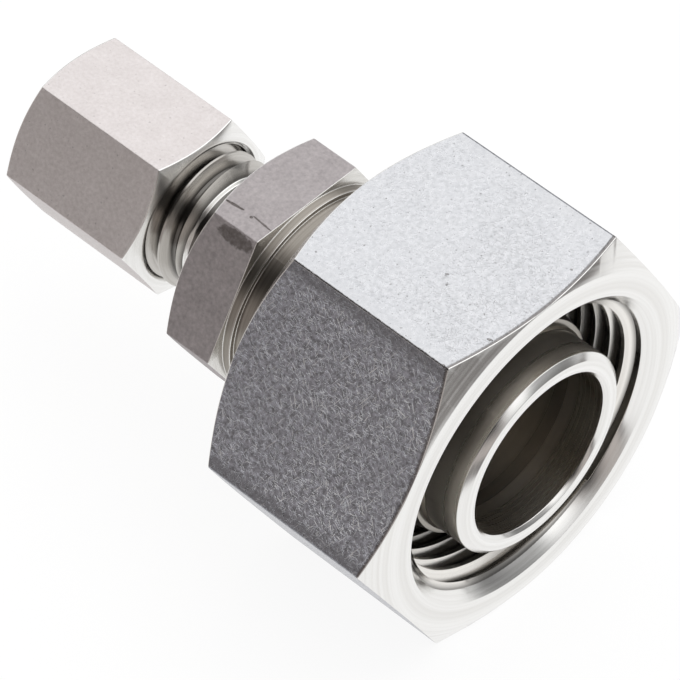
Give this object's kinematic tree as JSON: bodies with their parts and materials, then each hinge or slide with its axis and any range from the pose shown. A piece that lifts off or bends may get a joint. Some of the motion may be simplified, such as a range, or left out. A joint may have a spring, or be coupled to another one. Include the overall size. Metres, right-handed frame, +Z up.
{
  "type": "straight compression fitting",
  "caption": "Straight reducing compression fitting: hexagon body with tube stub and threaded end, two union nuts and two cutting rings.",
  "frame": {"origin": "on the ground under the middle of the overall length, straight below the common axis", "axes": "+X along the common axis towards the tube stub and the large nut's mouth, +Z up, lying on a flat of the large nut"},
  "size_m": [0.051, 0.037, 0.032],
  "materials": {
    "stainless_steel": "bare stainless steel, flats dull and faintly pitted, turned faces and chamfers bright"
  },
  "bodies": {
    "fitting": {"fitting_body": "stainless_steel"},
    "large_ring": {"large_cutting_ring": "stainless_steel"},
    "large_nut": {"large_union_nut": "stainless_steel"},
    "small_ring": {"small_cutting_ring": "stainless_steel"},
    "small_nut": {"small_union_nut": "stainless_steel"}
  },
  "joints": [
    {"name": "large_ring_spin", "type": "hinge", "parent": "fitting", "child": "large_ring", "pos_m": [0.0162, 0, 0.016], "axis": [1, 0, 0], "continuous": true},
    {"name": "large_nut_slide", "type": "slide", "parent": "large_ring", "child": "large_nut", "axis": [-1, 0, 0], "range_m": [0, 0.00475]},
    {"name": "small_ring_slide", "type": "slide", "parent": "fitting", "child": "small_ring", "axis": [-1, 0, 0], "range_m": [0, 0.0038]},
    {"name": "small_nut_turn", "type": "hinge", "parent": "small_ring", "child": "small_nut", "pos_m": [-0.018, 0, 0.016], "axis": [-1, 0, 0], "range_deg": [0, 900]}
  ],
  "couplings": [
    {"joint": "small_ring_slide", "follows": "small_nut_turn", "m_per_rad": 0.00023873}
  ]
}
